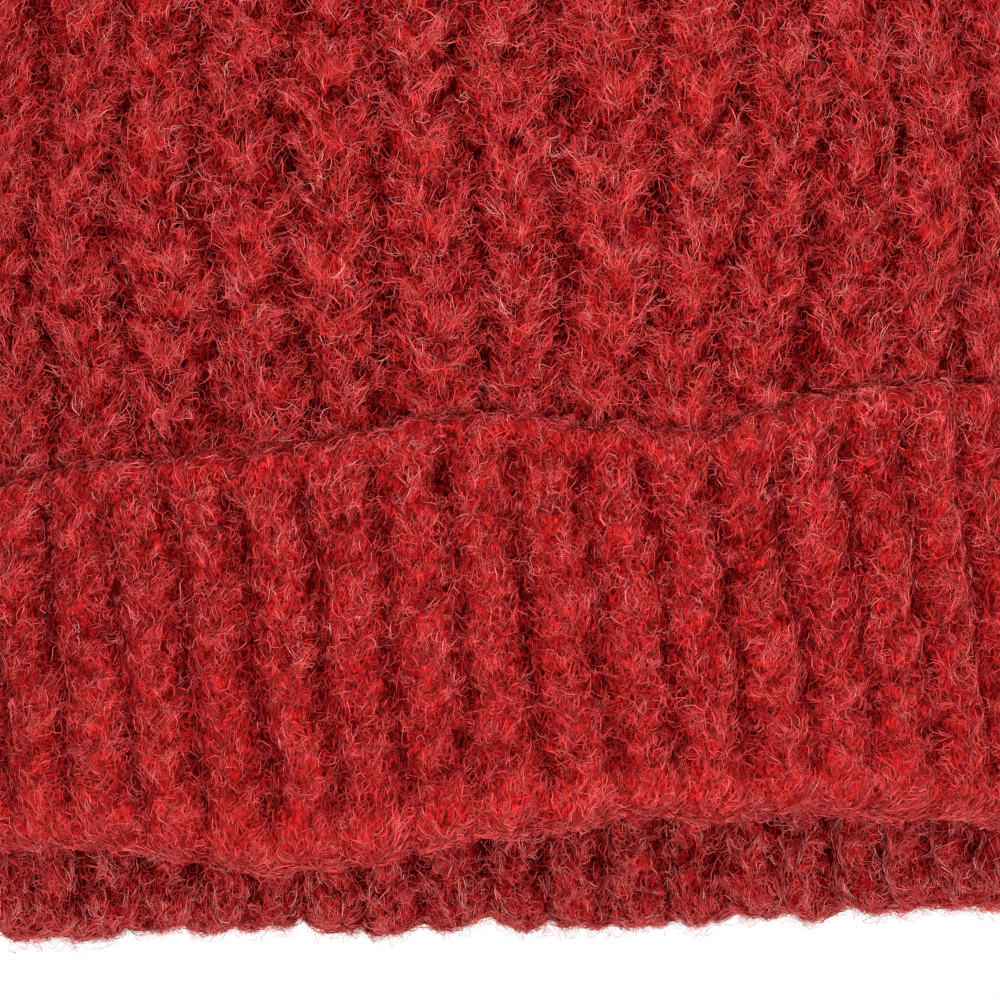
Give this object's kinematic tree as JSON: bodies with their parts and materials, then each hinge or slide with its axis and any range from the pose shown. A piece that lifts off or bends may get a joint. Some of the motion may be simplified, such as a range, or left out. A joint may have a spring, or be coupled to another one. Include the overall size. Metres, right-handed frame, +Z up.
{
  "type": "pom pom beanie",
  "caption": "Ribbed brushed-knit beanie with a turned-up cuff, a domed crown and a pom pom that presses on with a ring-spring snap.",
  "frame": {"origin": "middle of the rim's flat resting face", "axes": "+Z up through the crown and the pom pom, +X across the front, front faces -Y"},
  "size_m": [0.214, 0.152, 0.308],
  "materials": {
    "body_knit": "brushed fluffy wool-blend rib knit, red",
    "cuff_knit": "brushed fluffy wool-blend rib knit, red, finer rib",
    "seam_yarn": "plied wool-blend yarn, red",
    "label_satin": "woven satin tape, blank",
    "washer_felt": "pressed felt, dark red",
    "snap_metal": "nickel-plated pressed brass, satin",
    "spring_wire": "hard drawn spring wire, bright",
    "button_plastic": "moulded nylon, dark red",
    "tie_cord": "twisted polyester cord, red",
    "pom_yarn": "cut ends of brushed wool-blend yarn, red"
  },
  "bodies": {
    "hat": {"body_knit": "body_knit", "turned_up_cuff": "cuff_knit", "back_seam_yarn": "seam_yarn", "crown_gather_yarn": "seam_yarn", "crown_washer": "washer_felt", "stud_rivet": "snap_metal", "snap_stud": "snap_metal"},
    "label": {"care_label": "label_satin"},
    "snap_spring": {"snap_ring_spring": "spring_wire"},
    "pom_base": {"snap_socket": "snap_metal", "pom_base_button": "button_plastic"},
    "cord_knot": {"tie_knot": "tie_cord"},
    "pom": {"pom_tie_cord": "tie_cord", "pom_ball": "pom_yarn"}
  },
  "joints": [
    {"name": "pom_lift", "type": "slide", "parent": "hat", "child": "snap_spring", "axis": [0, 0, 1], "range_m": [0, 0.03]},
    {"name": "pom_spin", "type": "hinge", "parent": "snap_spring", "child": "pom_base", "pos_m": [0, 0, 0.202], "axis": [0, 0, 1], "continuous": true},
    {"name": "pom_nod", "type": "hinge", "parent": "pom_base", "child": "cord_knot", "pos_m": [0, 0, 0.2091], "axis": [1, 0, 0], "range_deg": [-15, 15], "stiffness_Nm_per_rad": 0.25},
    {"name": "pom_sway", "type": "hinge", "parent": "cord_knot", "child": "pom", "pos_m": [0, 0, 0.2091], "axis": [0, 1, 0], "range_deg": [-15, 15], "stiffness_Nm_per_rad": 0.25},
    {"name": "label_swing", "type": "hinge", "parent": "hat", "child": "label", "pos_m": [0, 0.0602, 0.034], "axis": [0, 0, -1], "range_deg": [0, 150]}
  ]
}
